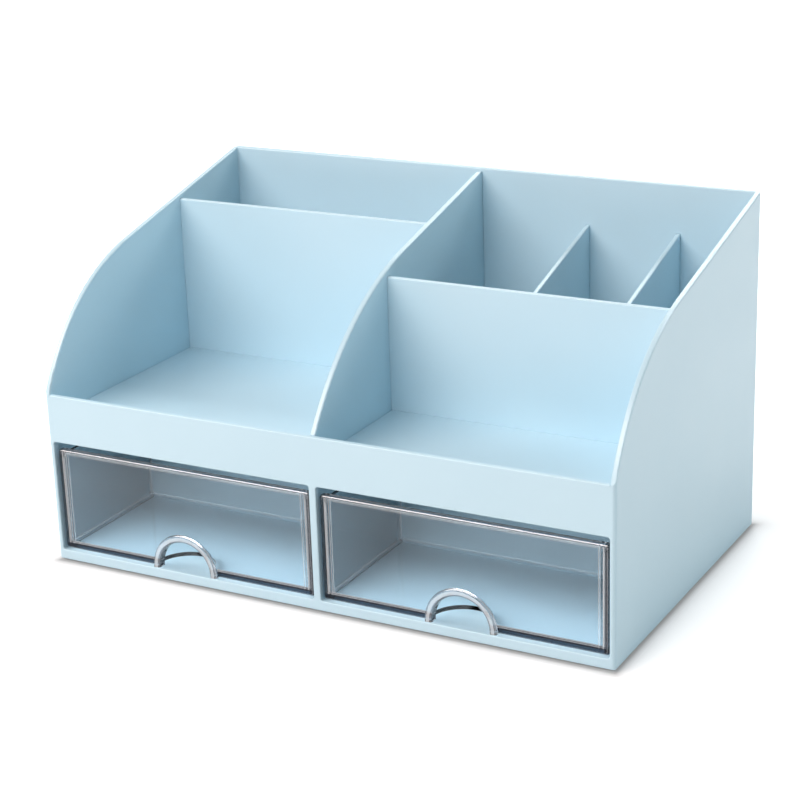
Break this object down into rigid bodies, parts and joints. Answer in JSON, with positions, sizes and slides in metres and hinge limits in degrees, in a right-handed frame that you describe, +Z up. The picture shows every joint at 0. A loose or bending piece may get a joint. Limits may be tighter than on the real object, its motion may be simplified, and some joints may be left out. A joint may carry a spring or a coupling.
{
  "type": "desktop drawer organizer",
  "caption": "Open-top desk organizer with curved sides, divided trays and pen slots above and clear pull-out drawers with half-round finger pulls below.",
  "frame": {"origin": "on the desk plane, under the middle of the case", "axes": "+X to the right seen from the front, -Y out of the drawer fronts, +Z up"},
  "size_m": [0.26, 0.158, 0.1508],
  "materials": {
    "case_plastic": "satin moulded plastic, pale blue",
    "drawer_clear": "clear polished plastic, faintly smoky",
    "foot_rubber": "soft translucent grey rubber"
  },
  "bodies": {
    "case": {"case_shell": "case_plastic", "base_plate": "case_plastic", "centre_divider": "case_plastic", "left_cross_wall": "case_plastic", "right_cross_wall": "case_plastic", "left_bay_wall": "case_plastic", "left_deck": "case_plastic", "right_deck": "case_plastic", "left_pen_divider": "case_plastic", "right_pen_divider": "case_plastic", "foot_front_left": "foot_rubber", "foot_front_right": "foot_rubber", "foot_back_left": "foot_rubber", "foot_back_right": "foot_rubber"},
    "left_drawer": {"left_drawer_tray": "drawer_clear", "left_drawer_front": "drawer_clear"},
    "right_drawer": {"right_drawer_tray": "drawer_clear", "right_drawer_front": "drawer_clear"}
  },
  "joints": [
    {"name": "left_drawer_slide", "type": "slide", "parent": "case", "child": "left_drawer", "axis": [0, -1, 0], "range_m": [0, 0.045]},
    {"name": "right_drawer_slide", "type": "slide", "parent": "case", "child": "right_drawer", "axis": [0, -1, 0], "range_m": [0, 0.045]}
  ]
}
